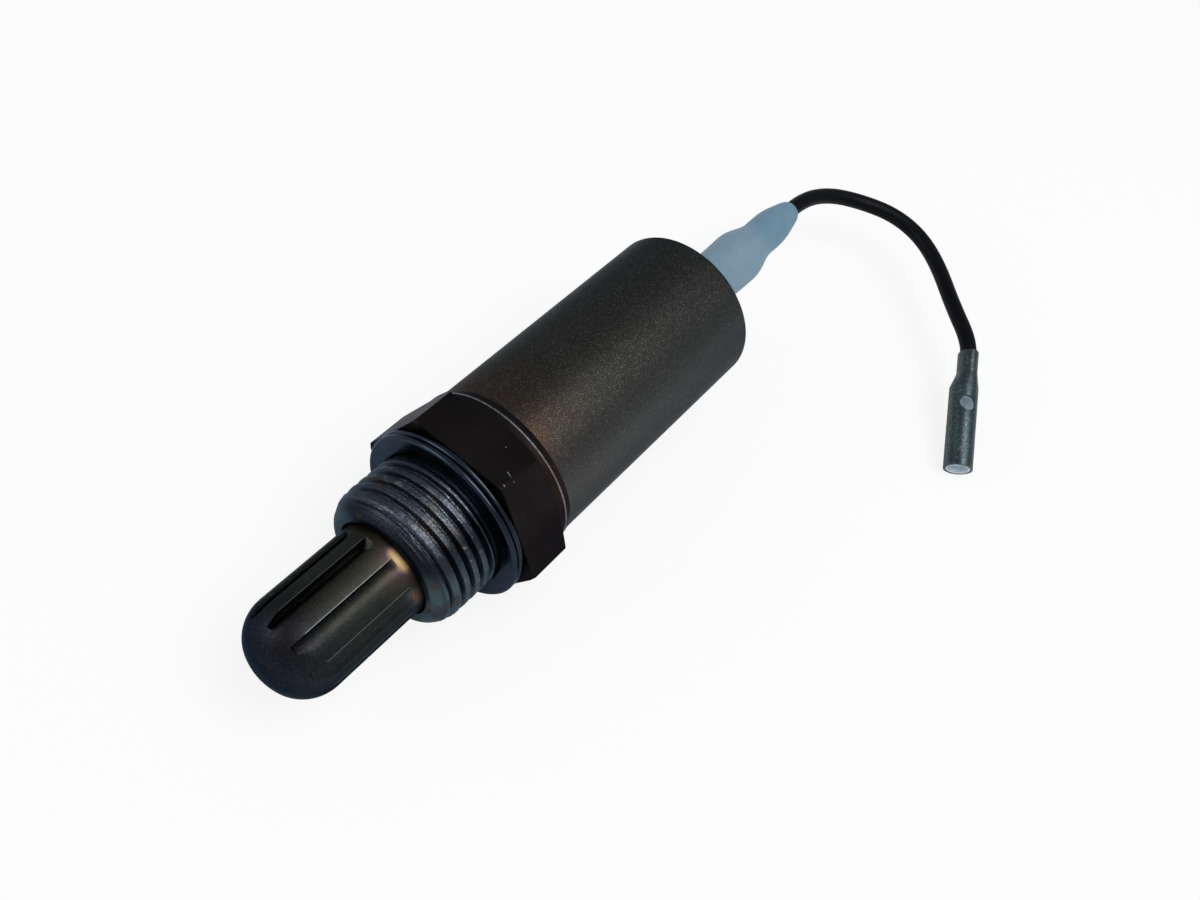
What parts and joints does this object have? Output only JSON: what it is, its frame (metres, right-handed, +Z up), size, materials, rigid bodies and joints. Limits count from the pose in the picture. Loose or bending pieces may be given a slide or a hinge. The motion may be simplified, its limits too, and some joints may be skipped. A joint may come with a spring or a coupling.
{
  "type": "exhaust oxygen sensor",
  "caption": "Single-wire unheated exhaust oxygen sensor: louvred protection tube, threaded hexagon housing with seal ring, closed sleeve, soft grommet and a short lead with a butt connector.",
  "frame": {"origin": "on the sensor's axis, in the plane of the seal ring's front face, where the sensor bears on its boss", "axes": "+X along the axis towards the lead, +Z up and square to a flat of the hexagon"},
  "size_m": [0.1175, 0.0558, 0.0222],
  "materials": {
    "tempered_steel": "smooth steel with dark temper colours, gold beside the housing",
    "zinc_steel": "blue-grey satin",
    "black_steel": "black oxide, with anti-seize paste on the thread",
    "plain_steel": "plain",
    "zirconia": "fine matt ceramic",
    "alumina": "matt white ceramic",
    "sleeve_steel": "fine granular satin, brown-grey with a heat tint",
    "pale_bush": "soft translucent pale blue-white",
    "lead_jacket": "satin black jacket",
    "copper": "bare copper strands",
    "plated_copper": "dull tin plate with grain"
  },
  "bodies": {
    "root": {"protection_tube": "tempered_steel", "seal_ring": "zinc_steel", "housing": "black_steel", "seat_ring": "plain_steel", "sensor_ceramic": "zirconia", "contact_element": "plain_steel", "insulating_tube": "alumina", "disc_spring": "plain_steel", "protective_sleeve": "sleeve_steel", "grommet": "pale_bush", "ferrule": "plain_steel", "inner_strands": "copper", "inner_lead": "lead_jacket", "lead": "lead_jacket", "end_strands": "copper", "butt_connector": "plated_copper"}
  },
  "joints": []
}
